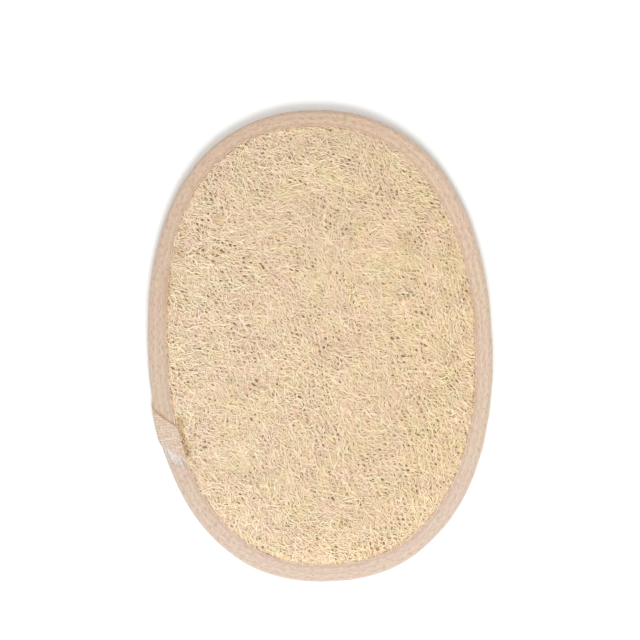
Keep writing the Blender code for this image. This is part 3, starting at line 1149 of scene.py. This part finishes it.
def frayLap():
    # loose threads at the raw end, most of them beside the loofah
    draw = np.random.default_rng(71)
    count = lap["threads"]
    across = draw.normal(-4.9 * mm, 2.0 * mm, count)
    across = np.clip(across, -tapeHalf, 0.6 * tapeHalf)
    start = draw.uniform(0.9, 0.99, count)
    length = draw.uniform(0.08, 0.5, count)
    step = np.linspace(0, 1, 7)[None, :]
    curl = draw.uniform(-1, 1, count)[:, None] * 2.2 * mm
    swing = draw.uniform(0, math.tau, count)[:, None]
    share = start[:, None] + length[:, None] * step
    reach = across[:, None] + curl * step ** 1.5 + 0.25 * mm * np.sin(swing + 5 * step)
    reach = np.clip(reach, -tapeHalf - 0.9 * mm, tapeHalf)
    height = draw.uniform(0.3, 0.8, count)[:, None] * mm
    lift = (height + 0.2 * mm * np.sin(swing + 4 * step)) * (1 - 0.75 * step ** 0.6)
    paths, _ = lapPoint(share, reach, (np.maximum(lift, 0.08 * mm), 1.0, 0.0))
    radius = draw.uniform(0.06, 0.12, count) * mm
    up = np.array([0.2, 0.1, 1.0])
    piece = bendCopies("frayedThreads", modelStrand(3, 6, 0.6), paths, radius, up, cottonThread)
    tint = draw.uniform(0.5, 0.9, count)
    paint(piece, "tint", np.repeat(tint, len(piece.data.vertices) // count))
    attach(piece, "root")
    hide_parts("edge_binding")


buildLap()
frayLap()
print("join of the tape made")


stitch = {
    "count": 300,
    "length": 1.45 * mm,
    "radius": 0.15 * mm,
    "rise": 0.12 * mm,
    "sink": 0.12 * mm,
}
stitchStrand = modelStrand(5, 5, 0.6)


def onLap(angle, across):
    # 1 on the join of the tape, where the seam climbs on it
    turn = lapTurn(angle, across)
    return ((turn > 0) & (turn < math.radians(lap["end"] - lap["start"]))).astype(float)


def layStitches(name, front, node):
    angles, places = evenAngles(stitch["count"], tape["frontEdge"][0] - tape["seam"])
    share = np.linspace(-0.5, 0.5, 6)
    half = share * stitch["length"] / places[-1] * len(places)
    angle = angles[:-1, None] + half[None, :] * np.diff(angles)[:, None]
    across = seamAcross(angle, front)
    lift = -stitch["sink"] + (stitch["rise"] + stitch["sink"]) * np.cos(share * math.pi)[None, :]
    place = np.interp(angle % math.tau, tapeAngles, tapePlaces)
    lift = lift + lap["thickness"] * onLap(angle, across)
    paths = tapePoint(angle, across, lift + tapeRelief(angle, place, across))
    up = np.array([0, 0, 1.0 if front else -1.0])
    radius = np.full(len(paths), stitch["radius"])
    piece = bendCopies(name, stitchStrand, paths, radius, up, cottonThread)
    draw = np.random.default_rng(51)
    tint = draw.uniform(0.0, 0.22, len(paths))
    paint(piece, "tint", np.repeat(tint, len(stitchStrand["corners"])))
    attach(piece, "root")
    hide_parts(node)


layStitches("frontStitches", True, "front_stitching")
layStitches("backStitches", False, "back_stitching")
print("stitches sewn")


# the terry back

terry = {
    "rimInset": 2.6 * mm,
    "top": 3.5 * mm,
    "pile": 1.1 * mm,
    "loops": 3000,
    "yarn": 0.26 * mm,
    "columns": 240,
}


def terryFloor(reach):
    # height of the pile's tips at this distance in from the tape, which is flat in the middle
    return np.interp(reach, [0.7 * mm, 4.2 * mm, 9.7 * mm], [1.2 * mm, 0.35 * mm, 0.0])


def terryReach(x, y):
    return insetOf(x, y) - tape["backEdge"][0] + edgeShift(np.arctan2(y, x))


def buildTerry():
    angles, _ = evenAngles(terry["columns"], 9 * mm)
    angles = angles[:-1]
    rings = [padPoint(angles, terry["rimInset"], height) for height in (terry["top"], 2.8 * mm)]
    edge = tape["backEdge"][0] - edgeShift(angles)
    for reach in (-3.0 * mm, 0.2 * mm):
        rings.append(padPoint(angles, edge + reach, 2.75 * mm))
    for reach in (0.8 * mm, 2.2 * mm, 4.2 * mm, 6.7 * mm, 9.7 * mm, 16.0 * mm, 26.0 * mm, 38.0 * mm):
        rings.append(padPoint(angles, edge + reach, terryFloor(reach) + terry["pile"]))
    piece = addShell("terryCloth", np.array(rings), terryCloth)
    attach(piece, "root")
    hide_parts("terry_back")
    return piece


def layLoops():
    # each loop of the pile goes down from the cloth, over, and back into it
    draw = np.random.default_rng(61)
    x, y = evenPlaces(terry["loops"], 100, lambda x, y: terryReach(x, y) - 1.2 * mm)
    count = len(x)
    turn = draw.uniform(0, math.tau, count)
    lean = draw.uniform(-0.45, 0.45, count) * mm
    size = draw.uniform(0.85, 1.15, count)
    across = np.array([-0.28, -0.62, -0.42, 0.42, 0.62, 0.28]) * mm
    drop = np.array([-0.25, 0.35, 0.85, 0.85, 0.35, -0.25])
    paths = np.zeros((count, 6, 3))
    sway = lean[:, None] * np.clip(drop, 0, 1)
    cos, sin = np.cos(turn)[:, None], np.sin(turn)[:, None]
    paths[..., 0] = x[:, None] + cos * across * size[:, None] - sin * sway
    paths[..., 1] = y[:, None] + sin * across * size[:, None] + cos * sway
    tip = terryFloor(terryReach(paths[..., 0], paths[..., 1])) + terry["yarn"] + 0.02 * mm
    depth = (terry["pile"] - terry["yarn"]) / 0.85
    paths[..., 2] = tip + depth * (0.85 - drop) * 0.95
    up = np.stack([-np.sin(turn), np.cos(turn), np.zeros(count)], -1)[:, None, :]
    radius = draw.uniform(0.9, 1.1, count) * terry["yarn"]
    piece = bendCopies("terryLoops", modelStrand(3, 5, 0.8), paths, radius, up, terryYarn)
    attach(piece, "root")
    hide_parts("terry_back")
    return piece


cloth = buildTerry()
loops = layLoops()
print("terry back made")
